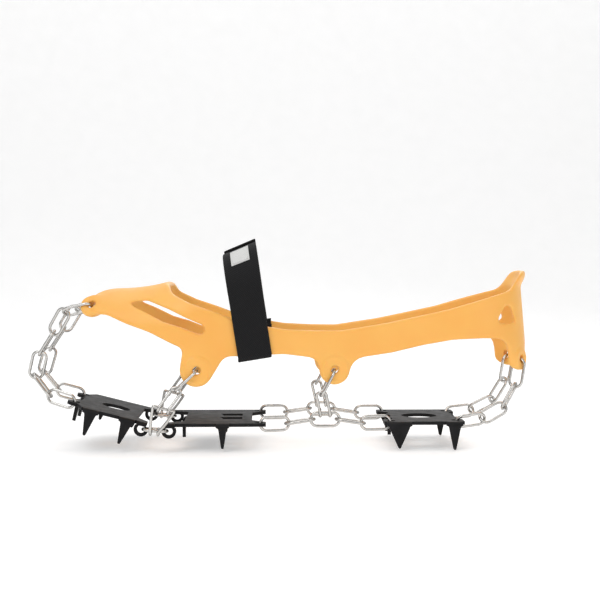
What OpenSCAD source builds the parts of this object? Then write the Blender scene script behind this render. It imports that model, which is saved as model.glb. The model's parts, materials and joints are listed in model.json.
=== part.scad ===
// Stretch-on ice cleats for a walking shoe: a moulded elastic harness, three spiked steel
// plates under the sole, the wire chains that join them, and a hook-and-loop instep strap.
// Everything stands as a shoe holds it. The toe is at -X, the heel at +X, and Z is up.
// The origin is the middle of the heel plate's top face, where the shoe's heel stands.
// Left is the -Y side. The left half is built, and the right half is its mirror image.

/* [Harness] */
// Half width of the harness round the heel
heel_half = 35; // [33:0.5:37]
// Half width of the harness at the ball of the foot
ball_half = 47; // [45:0.5:48]
// Thickness of the moulded band
band_t = 3.6; // [3:0.1:4]
// Thickness of a lug round its chain hole
lug_t = 4; // [3.8:0.1:4.2]
// Diameter of the chain hole in a lug
lug_hole_d = 4.8; // [4.7:0.1:5]

/* [Chain] */
// Diameter of the wire of every link
wire_d = 1.8; // [1.6:0.1:1.9]
// Outer length of a chain link
link_len = 19.4; // [19.3:0.1:19.6]
// Outer width of a chain link
link_w = 10; // [9.6:0.1:10.4]

/* [Spike plates] */
// Thickness of the plate steel
plate_t = 2; // [1.5:0.1:2.2]
// How far a long spike reaches below the plate's top
long_spike = 16; // [12:0.5:18]
// How far a short spike reaches below the plate's top
short_spike = 11; // [8:0.5:13]
// Diameter of the chain holes in the plates
plate_hole_d = 5.2; // [5:0.1:5.6]
// How much the front plate rises towards the toe, in degrees
front_pitch = 14; // [12:1:16]

/* [Instep strap] */
// Width of the strap
strap_w = 20; // [16:1:24]
// Thickness of the strap's webbing
strap_t = 1.5; // [1.2:0.1:1.8]

/* [Hidden] */
$fn = 32;
wire_r = wire_d / 2;
slack = 0.2; // clearance between a link's inner end and the point where it bears
inner_len = link_len - 2 * wire_d;
band_mid = -band_t / 2;

// ---- Shape of the worn harness: a rounded body round the shoe --------------------------
heel_start = 20;
heel_end = 66;
toe_start = -150;
toe_end = -238;
end_power = 2.3;
shoulder_r = 30;
// Height of the harness over the middle of the foot, from the toe back
TOP_LINE = [
    [-250, 22], [-238, 41], [-225, 60], [-208, 74], [-195, 79], [-178, 80.2], [-163, 82.5],
    [-145, 88], [-121, 97.5], [-101, 105.5], [-70, 118], [-20, 138], [80, 160]
];

function unit(v) = v / norm(v);
function turned(v, d) = unit(v - (v * d) * d); // v squared up against d
function smooth(t) = let(c = min(1, max(0, t))) c * c * (3 - 2 * c);
function rounded_end(t) = t >= 1 ? 0 : pow(1 - pow(t, end_power), 1 / end_power);

// A smooth curve through a list of [x, value] pairs
function stretch_of(l, x, i = 0) = i >= len(l) - 2 || x < l[i + 1][0] ? i : stretch_of(l, x, i + 1);
function curve(l, x) =
    let(
        i = stretch_of(l, x),
        a = l[max(i - 1, 0)],
        b = l[i],
        c = l[i + 1],
        e = l[min(i + 2, len(l) - 1)],
        w = c[0] - b[0],
        t = (x - b[0]) / w,
        slope_b = (c[1] - a[1]) / (c[0] - a[0]) * w,
        slope_c = (e[1] - b[1]) / (e[0] - b[0]) * w
    )
    b[1] * (2 * t ^ 3 - 3 * t ^ 2 + 1) + slope_b * (t ^ 3 - 2 * t ^ 2 + t)
    + c[1] * (3 * t ^ 2 - 2 * t ^ 3) + slope_c * (t ^ 3 - t ^ 2);

// Half width, height and shoulder of the body at x, grown outwards by d
function half_w(x, d) =
    x > heel_start
    ? (heel_half + d) * rounded_end((x - heel_start) / (heel_end - heel_start + d))
    : x < toe_start
    ? (ball_half + d) * rounded_end((toe_start - x) / (toe_start - toe_end + d))
    : heel_half + d
      + (ball_half - heel_half) * smooth((heel_start - x) / (heel_start - toe_start));
function top_z(x, d) = curve(TOP_LINE, x) + d;
function corner_r(x, d) = min(shoulder_r + d, max(half_w(x, d), 0.2));
function side_y(x, z, d) =
    let(r = corner_r(x, d), over = z - (top_z(x, d) - r))
    half_w(x, d) - r + (over <= 0 ? r : sqrt(max(0, r ^ 2 - over ^ 2)));

// The heel leans forwards towards its top and flares out again at the pull tab
function lean(x, z) =
    -0.085 * (z - 46) * smooth((x + 20) / 70)
    + 3.5 * smooth((z - 80) / 9) * smooth((x - 44) / 14);

// A point on the left side's surface, and the direction out of it
function on_side(x, z, d) = [x, -side_y(x, z, d), z];
function out_of_side(x, z, d) =
    let(
        h = 0.5,
        along = (side_y(x + h, z, d) - side_y(x - h, z, d)) / (2 * h),
        up = (side_y(x, z + h, d) - side_y(x, z - h, d)) / (2 * h)
    )
    unit([-along, -1, -up]);

// One ring round the body, from the left foot edge over the top to the right one
ring_straight = 2;
ring_arc = 7;
function half_ring(x, d, foot) =
    let(b = half_w(x, d), r = corner_r(x, d), z0 = top_z(x, d) - r)
    concat(
        [for (i = [0:ring_straight - 1]) [-b, foot + (z0 - foot) * i / ring_straight]],
        [for (i = [0:ring_arc]) let(a = 90 * i / ring_arc) [-(b - r) - r * cos(a), z0 + r * sin(a)]]
    );
function ring(x, d, foot) =
    let(h = half_ring(x, d, foot), n = len(h))
    [for (p = concat(h, [for (i = [n - 1:-1:0]) [-h[i][0], h[i][1]]])) [x + lean(x, p[1]), p[0], p[1]]];

function body_stations(d) =
    concat(
        [for (x = [-216:8:-152]) x],
        [for (x = [-142:12:heel_start - 8]) x],
        [for (i = [0:11]) heel_start + (heel_end - heel_start + d) * sin(88.5 * i / 11)]
    );

// A closed skin over equal rings of points
module skin(rings) {
    n = len(rings[0]);
    last = len(rings) - 1;
    polyhedron(
        points = [for (r = rings) each r],
        faces = concat(
            [[for (i = [n - 1:-1:0]) i]],
            [for (k = [0:last - 1], i = [0:n - 1])
                let(j = (i + 1) % n) [k * n + i, k * n + j, (k + 1) * n + j, (k + 1) * n + i]],
            [[for (i = [0:n - 1]) last * n + i]]
        ),
        convexity = 8
    );
}

module worn_body(d, foot) {
    skin([for (x = body_stations(d)) ring(x, d, foot)]);
}

// ---- Outline of the harness seen from the side -----------------------------------------
// Each row of a run is [x, z, radius]
REAR_RUN = [
    [78, 64.5, 18.5], [54, 64.2, 14.2], [35, 61.8, 11.3], [16, 58.7, 9], [-3, 55, 8.6], [-22, 50.8, 8.8],
    [-50, 46.6, 8.6], [-67, 47.4, 7.9], [-85, 49, 7.1], [-112, 50.6, 9.9], [-132, 54.5, 13.3]
];
FRONT_RUN = [
    [-132, 54.5, 13.3], [-146, 59.8, 12.8], [-160, 66.9, 12.7], [-175, 71, 11.6], [-188, 73.4, 8.6],
    [-193.8, 72.2, 6.8]
];
BRIDGE_RUN = [[-160, 78, 7], [-178, 77, 8], [-192.5, 76.5, 7.2]];
SIDE_LUG_1 = [[-131, 49, 13], [-136.9, 32.2, 9.3]];
SIDE_LUG_2 = [[-54.8, 44, 10], [-54.9, 32.2, 9]];
HEEL_SKIRT = [[60, 62, 10], [62, 34, 10]];
PULL_TAB = [[61, 74, 9], [64, 86.3, 4.6]];
WINDOW = [[-175.5, 71.2, 1], [-167, 70, 3.3], [-155, 64.6, 4], [-145, 60.7, 3.1], [-135, 56.6, 2.9]];
HEEL_WINDOW = [[47.6, 61.6, 2.6], [53.4, 61, 2.4], [50.9, 67.2, 2.6], [47.6, 61.6, 2.6]];
fillet_r = 7;

module run(points) {
    for (i = [0:len(points) - 2]) {
        hull() {
            for (p = [points[i], points[i + 1]]) {
                translate([p[0], p[1]]) circle(p[2]);
            }
        }
    }
}

module harness_outline() {
    difference() {
        offset(r = -fillet_r, $fn = 24) offset(delta = fillet_r) {
            for (r = [REAR_RUN, FRONT_RUN, BRIDGE_RUN, SIDE_LUG_1, SIDE_LUG_2, HEEL_SKIRT, PULL_TAB]) {
                run(r);
            }
        }
        run(WINDOW);
        hull() run(HEEL_WINDOW);
    }
}

// ---- Lugs ------------------------------------------------------------------------------
// Where each lug's hole is, seen from the side
TOE_LUG = [-200.5, 69.6];
LUG_1 = [-136.9, 32.2];
LUG_2 = [-54.9, 32.2];
HEEL_LUG = [58.8, 37];
LUGS = [TOE_LUG, LUG_1, LUG_2, HEEL_LUG];
lug_r = 6.6;
toe_lug_lean = 35;
wall_gap = 1.1; // how far a link's bearing point is from the wall of its hole in a lug

function lug_at(l) = on_side(l[0], l[1], band_mid) + [lean(l[0], l[1]), 0, 0];
// The way a lug's hole runs. The toe lug is pulled round to face across its chain
function lug_out(l) =
    let(n = out_of_side(l[0], l[1], band_mid))
    l == TOE_LUG ? [0, -cos(toe_lug_lean), sin(toe_lug_lean)] : n;
// The bearing point in a lug, on the side towards an aim
function lug_bearing(l, aim) =
    let(n = lug_out(l), v = aim - lug_at(l))
    lug_at(l) + unit(v - (v * n) * n) * (lug_hole_d / 2 - wall_gap);

// Places its children with their Z along a direction
module along(p, dir) {
    translate(p) rotate([0, acos(dir[2] / norm(dir)), atan2(dir[1], dir[0])]) children();
}

module both_sides() {
    children();
    mirror([0, 1, 0]) children();
}

module harness() {
    side_reach = 120;
    arch_half = 27;
    color("orange")
        difference() {
            union() {
                intersection() {
                    difference() {
                        worn_body(0, 12);
                        worn_body(-band_t, 4);
                    }
                    rotate([90, 0, 0]) linear_extrude(side_reach, center = true) harness_outline();
                }
                both_sides() {
                    for (l = LUGS) {
                        along(lug_at(l), lug_out(l)) cylinder(r = lug_r, h = lug_t, center = true);
                    }
                }
            }
            heel_arch(arch_half);
            toe_notch();
            both_sides() {
                for (l = LUGS) {
                    along(lug_at(l), lug_out(l)) cylinder(d = lug_hole_d, h = 4 * lug_t, center = true);
                }
            }
        }
}

// What is cut from the heel band below its lower edge, seen from behind, to leave two lugs
module heel_arch(half) {
    lug_y = side_y(HEEL_LUG[0], HEEL_LUG[1], band_mid);
    translate([38, 0, 0])
        rotate([90, 0, 90])
            linear_extrude(60)
                difference() {
                    translate([-half - 10, 0]) square([2 * half + 20, 47]);
                    offset(r = -5) offset(delta = 5) {
                        translate([-half - 20, 46]) square([2 * half + 40, 20]);
                        for (k = [-1, 1]) {
                            hull() {
                                translate([k * lug_y, HEEL_LUG[1]]) circle(6.8);
                                translate([k * lug_y, 52]) circle(7.6);
                            }
                        }
                    }
                }
}

// The gap between the toe lugs, seen from above
module toe_notch() {
    linear_extrude(120)
        hull() {
            for (k = [-1, 1]) {
                translate([-203, k * 11]) circle(8);
                translate([-226, k * 20]) circle(8);
            }
        }
}

// ---- Chain routes on the left side -----------------------------------------------------
function but_first(l, p) = [for (i = [0:len(l) - 1]) i == 0 ? p : l[i]];
function backwards(l) = [for (i = [len(l) - 1:-1:0]) l[i]];
function pulled(q, gaps, i = 1, out = []) =
    i == 1 && len(out) == 0
    ? pulled(q, gaps, 1, [q[0]])
    : i == len(q)
    ? out
    : pulled(q, gaps, i + 1, concat(out, [out[i - 1] + gaps[i - 1] * unit(q[i] - out[i - 1])]));
// Bearing points from a to b, one link apart, close to the points of q
function route(q, a, b, gaps, n = 60) =
    n == 0
    ? q
    : let(
        there = pulled(but_first(q, a), gaps),
        back = pulled(but_first(backwards(there), b), backwards(gaps))
    )
    route(backwards(back), a, b, gaps, n - 1);
// The reach of each link, from the slack at each bearing point: more where the chain bends
function reaches(slacks) = [for (i = [0:len(slacks) - 2]) inner_len - slacks[i] - slacks[i + 1]];

// Chain holes of the plates, at the middle of the steel
front_at = [-189.3, 0, 5.9];
mid_at = [-123.6, 0, -0.3];
FRONT_TOE_HOLE = [-22.5, -22];
MID_REAR_HOLE = [23.3, -33];
HEEL_FRONT_HOLE = [-19.9, -28];
HEEL_REAR_HOLE = [19.5, -25];
function in_front_plate(x, y, z) =
    front_at + [
        x * cos(front_pitch) + z * sin(front_pitch), y, -x * sin(front_pitch) + z * cos(front_pitch)
    ];
plate_gap = plate_hole_d / 2 - 0.6;
function plate_bearing(hole, aim) = hole + unit(aim - hole) * plate_gap;

// The joining ring goes through a drilled tab of the front plate and one of the mid plate
tab_y = -39;
tab_hole_d = 4.8;
ring_len = 16.4;
ring_w = 11.2;
tab_hole_gap = ring_len - wire_d + 2;
FRONT_TAB = [20.5, -4.2]; // in the front plate, from its centre and its top face
front_tab_at = in_front_plate(FRONT_TAB[0], tab_y, FRONT_TAB[1]);
mid_tab_at = [
    front_tab_at[0] + sqrt(tab_hole_gap ^ 2 - (mid_at[2] + FRONT_TAB[1] - front_tab_at[2]) ^ 2),
    tab_y, mid_at[2] + FRONT_TAB[1]
];
ring_dir = unit(mid_tab_at - front_tab_at);
ring_at = (mid_tab_at + front_tab_at) / 2;
ring_bar = ring_at + [0, -(ring_w - wire_d) / 2, 0];

TOE_AIMS = [[-217, -26.5, 66], [-225, -23, 54.5], [-232.5, -20, 41], [-235.5, -17, 26], [-226, -19, 15]];
toe_hole = in_front_plate(FRONT_TOE_HOLE[0], FRONT_TOE_HOLE[1], -plate_t / 2);
// Where a link sits that hangs taut in the bend of another, with both wires a gap apart
function hung_centre(c1, u1, w1, u2, w2, gap) =
    let(
        n = unit(u1 + u2),
        e1 = turned(n, cross(u1, w1)),
        e2 = turned(-n, cross(u2, w2)),
        bend_r = (link_w - wire_d) / 2,
        half = (link_len - link_w) / 2
    )
    c1 + half * u1 + bend_r * e1 - (wire_d + gap) * n - bend_r * e2 + half * u2;

toe_1_a = lug_bearing(TOE_LUG, TOE_AIMS[0]);
toe_1_u = unit(TOE_AIMS[0] - toe_1_a);
toe_1_w = turned(lug_out(TOE_LUG), toe_1_u);
toe_1_at = toe_1_a + (inner_len / 2 - slack) * toe_1_u;
toe_2_u = unit([-0.5, 0.2, -0.85]);
toe_2_w = turned([0.78, -0.34, -0.54], toe_2_u);
toe_2_at = hung_centre(toe_1_at, toe_1_u, toe_1_w, toe_2_u, toe_2_w, 0.5);
toe_a = toe_2_at + (inner_len / 2 - slack) * toe_2_u;
toe_b = plate_bearing(toe_hole, TOE_AIMS[4]);
TOE_SLACKS = [slack, 0.25, 0.65, 0.35, slack];
TOE_ROUTE = route(
    concat([toe_a], [for (i = [2:4]) TOE_AIMS[i]], [toe_b]), toe_a, toe_b, reaches(TOE_SLACKS)
);
TOE_WIDTHS = [[0, 1, 0], [1, 0.05, 0], [0, 1, 0.05], [0, 0, 1]];

LONG_AIMS = [[-84, -31, -0.6], [-69, -30, 0.6], [-53.5, -29, 0.6], [-38, -28.5, -0.6]];
mid_hole = mid_at + [MID_REAR_HOLE[0], MID_REAR_HOLE[1], -plate_t / 2];
heel_hole = [HEEL_FRONT_HOLE[0], HEEL_FRONT_HOLE[1], -plate_t / 2];
long_a = plate_bearing(mid_hole, LONG_AIMS[0]);
long_b = plate_bearing(heel_hole, LONG_AIMS[3]);
LONG_SLACKS = [slack, slack, slack, slack, slack, slack];
LONG_ROUTE = route(concat([long_a], LONG_AIMS, [long_b]), long_a, long_b, reaches(LONG_SLACKS));
LONG_WIDTHS = [[0, 0, 1], [0, 1, 0], [0, 0, 1], [0, 1, 0], [0, 0, 1]];

HEEL_AIMS = [[60.8, -18, 21], [57.5, -20, 6], [43.5, -23, -3.2]];
rear_hole = [HEEL_REAR_HOLE[0], HEEL_REAR_HOLE[1], -plate_t / 2];
heel_a = lug_bearing(HEEL_LUG, HEEL_AIMS[0]);
heel_b = plate_bearing(rear_hole, HEEL_AIMS[2]);
HEEL_SLACKS = [slack, 0.3, 0.45, 0.35, slack];
HEEL_ROUTE = route(concat([heel_a], HEEL_AIMS, [heel_b]), heel_a, heel_b, reaches(HEEL_SLACKS));
HEEL_WIDTHS = [lug_out(HEEL_LUG), [0.3, 0.88, -0.3], [-0.4, 0.5, 0.7], [0, -0.57, 1]];

// Side chain 1 hangs from lug 1 and hooks on the joining ring through two hooks.
// Side chain 2 hangs from lug 2 and hooks on the middle link of the long chain.
bell_top = ring_bar + [5.9, -3.6, 13.6];
bell_bar_dir = unit([cos(15), 0, -sin(15)]);
lug_1_aim = [-150.6, -46.6, 19.4];
side_1_a = lug_bearing(LUG_1, lug_1_aim);
side_1_b = side_1_a + (inner_len - 2 * slack) * unit(lug_1_aim - side_1_a);
long_mid = (LONG_ROUTE[2] + LONG_ROUTE[3]) / 2;
long_mid_dir = unit(LONG_ROUTE[3] - LONG_ROUTE[2]);
long_bar = long_mid + [0, 0, (link_w - wire_d) / 2];
lug_2_aim = [-62.6, -38, 17.5];
side_2_a = lug_bearing(LUG_2, lug_2_aim);
side_2_b = side_2_a + (inner_len - 2 * slack) * unit(lug_2_aim - side_2_a);

// ---- Links -----------------------------------------------------------------------------
// A closed oval link of round wire, its length along X and its width along Y
module oval_link(length, width) {
    bend_r = (width - wire_d) / 2;
    straight = length - width;
    for (k = [-1, 1]) {
        translate([0, k * bend_r, 0]) rotate([0, 90, 0]) cylinder(d = wire_d, h = straight, center = true);
        translate([k * straight / 2, 0, 0])
            rotate([0, 0, -90 * k])
                rotate_extrude(angle = 180) translate([bend_r, 0]) circle(d = wire_d);
    }
}

// Places its children with X along u and Y as near to w as a right angle allows
module facing(p, u, w) {
    y = unit(w - (w * u) * u);
    z = cross(u, y);
    multmatrix([
        [u[0], y[0], z[0], p[0]],
        [u[1], y[1], z[1], p[1]],
        [u[2], y[2], z[2], p[2]],
        [0, 0, 0, 1]
    ])
        children();
}

// The chain link between bearing points i and i + 1 of a route
module link_between(a, b, w, slack_a = slack, slack_b = slack) {
    u = unit(b - a);
    facing((a + b + (slack_b - slack_a) * u) / 2, u, w) oval_link(link_len, link_w);
}
module chain_link(points, widths, slacks, i) {
    link_between(points[i], points[i + 1], widths[i], slacks[i], slacks[i + 1]);
}

// A round wire through a list of points, as one closed tube
tube_sides = 10;
function tube_dir(path, i) =
    unit(
        (i < len(path) - 1 ? unit(path[i + 1] - path[i]) : [0, 0, 0])
        + (i > 0 ? unit(path[i] - path[i - 1]) : [0, 0, 0])
    );
function tube_frames(path, start, i = 0, out = []) =
    i == len(path)
    ? out
    : tube_frames(path, start, i + 1, concat(out, [turned(i == 0 ? start : out[i - 1], tube_dir(path, i))]));
module wire(path, start) {
    frames = tube_frames(path, start);
    skin([
        for (i = [0:len(path) - 1])
            let(side = frames[i], other = cross(tube_dir(path, i), side))
            [for (k = [0:tube_sides - 1])
                path[i] + wire_r * (cos(360 * k / tube_sides) * side - sin(360 * k / tube_sides) * other)]
    ]);
}

// The hooked end of a wire round a bar: dir is the bar's, up is towards the leg
hook_r = wire_d + 0.42;
hook_turn = 205;
function outwards(dir, up) = let(o = cross(dir, up)) o[1] < 0 ? unit(o) : -unit(o);
function hook_curl(c, dir, up) =
    let(o = outwards(dir, up), v = turned(up, dir))
    [for (a = [0:hook_turn / 8:hook_turn]) c + hook_r * (cos(a) * o - sin(a) * v)];

// A link with a round top end through another link, and two legs hooked on a bar
hook_spread = 6;
function hook_link_path(top, bar, dir) =
    let(
        v = turned(top - bar, dir),
        r = hook_spread / 2,
        o = outwards(dir, v),
        apex = top + (slack + 0.3 + wire_r) * v,
        c = apex - r * v,
        left = hook_curl(bar - dir * r, dir, v),
        right = hook_curl(bar + dir * r, dir, v)
    )
    concat(
        backwards(left),
        [for (a = [180:-18:0]) c + r * (cos(a) * dir + sin(a) * v)],
        right
    );

// The bell link: a straight top bar and two legs that close in to their hooks
bell_half = 6.4;
bell_foot_half = 2.3;
bell_bend = 1.6;
function bell_path(top, top_dir, bar, dir) =
    let(
        v = turned(top - bar, dir),
        left = hook_curl(bar - dir * bell_foot_half, dir, v),
        right = hook_curl(bar + dir * bell_foot_half, dir, v),
        top_left = top - top_dir * bell_half,
        top_right = top + top_dir * bell_half
    )
    concat(
        backwards(left),
        [
            top_left + bell_bend * unit(left[0] - top_left), top_left + bell_bend * 0.3 * (top_dir - v),
            top_left + bell_bend * top_dir, top_right - bell_bend * top_dir,
            top_right - bell_bend * 0.3 * (top_dir + v), top_right + bell_bend * unit(right[0] - top_right)
        ],
        right
    );

module left_link(chain, i) {
    color("silver")
        if (chain == "toe_chain") {
            if (i == 0) {
                facing(toe_1_at, toe_1_u, toe_1_w) oval_link(link_len, link_w);
            } else if (i == 1) {
                facing(toe_2_at, toe_2_u, toe_2_w) oval_link(link_len, link_w);
            } else {
                chain_link(TOE_ROUTE, TOE_WIDTHS, TOE_SLACKS, i - 2);
            }
        } else if (chain == "long_chain") {
            chain_link(LONG_ROUTE, LONG_WIDTHS, LONG_SLACKS, i);
        } else if (chain == "heel_chain") {
            chain_link(HEEL_ROUTE, HEEL_WIDTHS, HEEL_SLACKS, i);
        } else if (chain == "side_chain_1") {
            link_between(side_1_a, side_1_b, lug_out(LUG_1));
        } else if (chain == "side_chain_2") {
            link_between(side_2_a, side_2_b, lug_out(LUG_2));
        } else if (chain == "joining_ring") {
            facing(ring_at, ring_dir, [0, 1, 0]) oval_link(ring_len, ring_w);
        } else if (chain == "bell_link") {
            wire(bell_path(bell_top, bell_bar_dir, ring_bar, ring_dir), ring_dir);
        } else if (chain == "hook_link_1") {
            wire(hook_link_path(side_1_b, bell_top, bell_bar_dir), bell_bar_dir);
        } else if (chain == "hook_link_2") {
            wire(hook_link_path(side_2_b, long_bar, long_mid_dir), long_mid_dir);
        }
}

// ---- Spike plates ----------------------------------------------------------------------
bend_r = 2.4;
tip_r = 0.9;

// A pointed spike in its own plane: w wide at the root, h long, its tip moved sideways by skew
function spike_outline(w, h, skew) =
    let(
        root = 1.6,
        foot = [for (i = [0:3]) let(a = 30 * i) [root * (1 - sin(a)), -root * (1 - cos(a))]],
        tip = [for (a = [-20:-28:-160]) [skew + tip_r * cos(a), -h + tip_r + tip_r * sin(a)]]
    )
    concat(
        [for (p = foot) [w / 2 - root + p[0], p[1]]],
        tip,
        [for (p = backwards(foot)) [-(w / 2 - root) - p[0], p[1]]]
    );

// A strip bent down from a plate's edge at the origin, with its outside towards +X
module bend(w) {
    translate([0, 0, -bend_r])
        rotate([90, 0, 0])
            rotate_extrude(angle = 90) translate([bend_r - plate_t, -w / 2]) square([plate_t, w]);
}

module bent_spike(w, drop, skew = 0) {
    bend(w);
    translate([bend_r - plate_t, 0, -bend_r])
        rotate([90, 0, 90]) linear_extrude(plate_t) polygon(spike_outline(w, drop - bend_r, skew));
}

// A drilled tab bent down from a plate's left edge: its hole is x from the middle of the bend
module bent_tab(w, x, z) {
    tab_r = 4.4;
    bend(w);
    translate([bend_r - plate_t, 0, -bend_r])
        rotate([90, 0, 90])
            linear_extrude(plate_t)
                difference() {
                    union() {
                        translate([-w / 2, z + bend_r]) square([w, -z - bend_r]);
                        translate([x, z + bend_r]) circle(tab_r);
                    }
                    translate([x, z + bend_r]) circle(d = tab_hole_d);
                    translate([-2 * w, 0]) square([4 * w, 20]);
                }
}

// On the left edge of a plate: X of the spike runs towards the heel
module on_left(x, half) {
    translate([x, -half, 0]) rotate([0, 0, -90]) children();
}
module on_front(x, y) {
    translate([x, y, 0]) rotate([0, 0, 180]) children();
}
module on_rear(x, y) {
    translate([x, y, 0]) children();
}

module plate_sheet() {
    translate([0, 0, -plate_t]) linear_extrude(plate_t) children();
}

function mirrored(l) = concat(l, [for (p = backwards(l)) [p[0], -p[1]]]);

wide_half = -tab_y - 1 + plate_t - bend_r - (plate_t - 2) / 2;
spike_w = 9.6;

module front_plate() {
    edge = mirrored([[-21, -10], [-21, -27], [-17, -wide_half], [23, -wide_half], [23, -31], [16, -24]]);
    color([0.1, 0.1, 0.11])
        translate(front_at)
            rotate([0, front_pitch, 0]) {
                plate_sheet()
                    difference() {
                        union() {
                            polygon(edge);
                            for (k = [-1, 1]) {
                                translate([FRONT_TOE_HOLE[0], k * FRONT_TOE_HOLE[1]]) circle(5.2);
                            }
                        }
                        for (k = [-1, 1]) {
                            translate([FRONT_TOE_HOLE[0], k * FRONT_TOE_HOLE[1]]) circle(d = plate_hole_d);
                        }
                        circle(9);
                    }
                both_sides() {
                on_left(-11, wide_half) bent_spike(spike_w, long_spike, -0.6);
                    on_left(11, wide_half) bent_spike(spike_w, long_spike, -1.4);
                    on_left(20, wide_half) bent_tab(6, FRONT_TAB[0] - 20, FRONT_TAB[1]);
                    on_front(-21, -12) bent_spike(spike_w, long_spike - 3);
                }
            }
}

module mid_plate() {
    front_x = mid_tab_at[0] - mid_at[0];
    edge = mirrored([
        [-22, -24], [front_x - 2.5, -31], [front_x - 2.5, -wide_half], [14, -wide_half],
        [27.6, -37], [27.6, -29], [19, -20]
    ]);
    color([0.1, 0.1, 0.11])
        translate(mid_at) {
            plate_sheet()
                difference() {
                    polygon(edge);
                    for (k = [-1, 1]) {
                        translate([MID_REAR_HOLE[0], k * MID_REAR_HOLE[1]]) circle(d = plate_hole_d);
                        translate([6, k * 9]) square([14, 10.4], center = true);
                    }
                }
            both_sides() {
                on_left(1.6, wide_half) bent_spike(8, long_spike - 1);
                on_left(front_x + 0.5, wide_half) bent_tab(6, -0.5, FRONT_TAB[1]);
                on_rear(-1, -9) bent_spike(8, long_spike - 2);
            }
            on_front(-22, 0) bent_spike(8, long_spike - 3);
        }
}

module heel_plate() {
    edge_y = 33;
    edge = mirrored([
        [-18, -18], [-24.4, -22], [-24.4, -edge_y + 1], [-23, -edge_y], [23, -edge_y], [24.4, -edge_y + 1],
        [24.4, -20], [21, -17]
    ]);
    color([0.1, 0.1, 0.11]) {
        plate_sheet()
            difference() {
                polygon(edge);
                for (k = [-1, 1]) {
                    translate([HEEL_FRONT_HOLE[0], k * HEEL_FRONT_HOLE[1]]) circle(d = plate_hole_d);
                    translate([HEEL_REAR_HOLE[0], k * HEEL_REAR_HOLE[1]]) circle(d = plate_hole_d);
                }
                circle(11);
            }
        both_sides() {
            on_left(-15.4, edge_y) bent_spike(15.2, long_spike);
            on_left(18, edge_y) bent_spike(10, long_spike + 1);
            on_front(-18, -9) bent_spike(8, short_spike);
            on_rear(21, -9) bent_spike(8, short_spike);
        }
    }
}

// ---- Instep strap ----------------------------------------------------------------------
strap_gap = 0.5; // clearance between the harness and the strap
strap_foot = 41;
strap_steps = 28;

// Where the strap's middle line is at a height, and its rise across its width
function strap_x(z) = -102.5 - (z - strap_foot) * 0.155;

// A point of the strap: t runs from 0 at the left foot to 1 at the right, s across its width
function strap_point(t, s, d) =
    let(
        x0 = strap_x(78),
        b = half_w(x0, d),
        r = corner_r(x0, d),
        z0 = top_z(x0, d) - r,
        side = z0 - strap_foot,
        arc = r * PI / 2,
        flat = b - r,
        half = side + arc + flat,
        m = min(t, 1 - t) * 2 * half,
        a = min(90, max(0, (m - side) / arc * 90)),
        y = -(b - r) - r * cos(a) + max(0, m - side - arc),
        z = (m < side ? strap_foot + m : z0 + r * sin(a)),
        x = strap_x(z) + s * strap_w / 2,
        rise = (top_z(x, 0) - top_z(strap_x(z), 0)) * sin(a),
        widen = (half_w(x, 0) - half_w(x0, 0)) * cos(a)
    )
    [x, (t < 0.5 ? y - widen : widen - y), z + rise];

strap_rows = 4;
function strap_section(t, d, thick, narrow = 0) =
    concat(
        [for (i = [0:strap_rows]) strap_point(t, (1 - narrow) * (2 * i / strap_rows - 1), d)],
        [for (i = [strap_rows:-1:0]) strap_point(t, (1 - narrow) * (2 * i / strap_rows - 1), d + thick)]
    );
module strap_piece(span, d, thick, narrow = 0) {
    skin([for (i = [span[0]:span[1]]) strap_section(i / strap_steps, d, thick, narrow)]);
}

pad_t = 1;
flap_gap = strap_gap + strap_t + 1.7; // from the harness to the inside of the loose end
// Ends of the loose end, its pad and the label, counted in steps along the band
FLAP_SPAN = [17, 28];
PAD_SPAN = [18, 23];
LABEL_SPAN = [8, 11];

// The webbing from the left foot edge of the band, over the instep, to the right one
module strap_band() {
    color([0.12, 0.12, 0.12]) strap_piece([0, strap_steps], strap_gap, strap_t);
}

// The loose end, which comes back up over the band on the right side
module strap_flap() {
    color([0.12, 0.12, 0.12]) strap_piece(FLAP_SPAN, flap_gap, strap_t);
}

// The hook pad sewn inside the loose end
module strap_hook_pad() {
    color([0.2, 0.2, 0.2]) strap_piece(PAD_SPAN, flap_gap - pad_t - 0.1, pad_t, 0.12);
}

// A woven label sewn on the left side near the top
module strap_label() {
    color("white") strap_piece(LABEL_SPAN, strap_gap + strap_t + 0.1, 0.4, 0.3);
}

// ---- Nodes -----------------------------------------------------------------------------
SIDES = ["left", "right"];
LINKS = concat(
    [for (i = [0:5]) ["toe_chain", i]],
    [for (c = ["side_chain_1", "hook_link_1", "bell_link", "joining_ring"]) [c, 0]],
    [for (i = [0:4]) ["long_chain", i]],
    [for (c = ["side_chain_2", "hook_link_2"]) [c, 0]],
    [for (i = [0:3]) ["heel_chain", i]]
);
function link_name(side, l) =
    str(side, "_", l[0], l[0] == "toe_chain" || l[0] == "long_chain" || l[0] == "heel_chain"
        ? str("_link_", l[1] + 1) : "");

harness();
front_plate();
mid_plate();
heel_plate();
strap_band();
strap_flap();
strap_hook_pad();
strap_label();
for (l = LINKS) {
    left_link(l[0], l[1]);
    mirror([0, 1, 0]) left_link(l[0], l[1]);
}
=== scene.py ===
import json
import math

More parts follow.
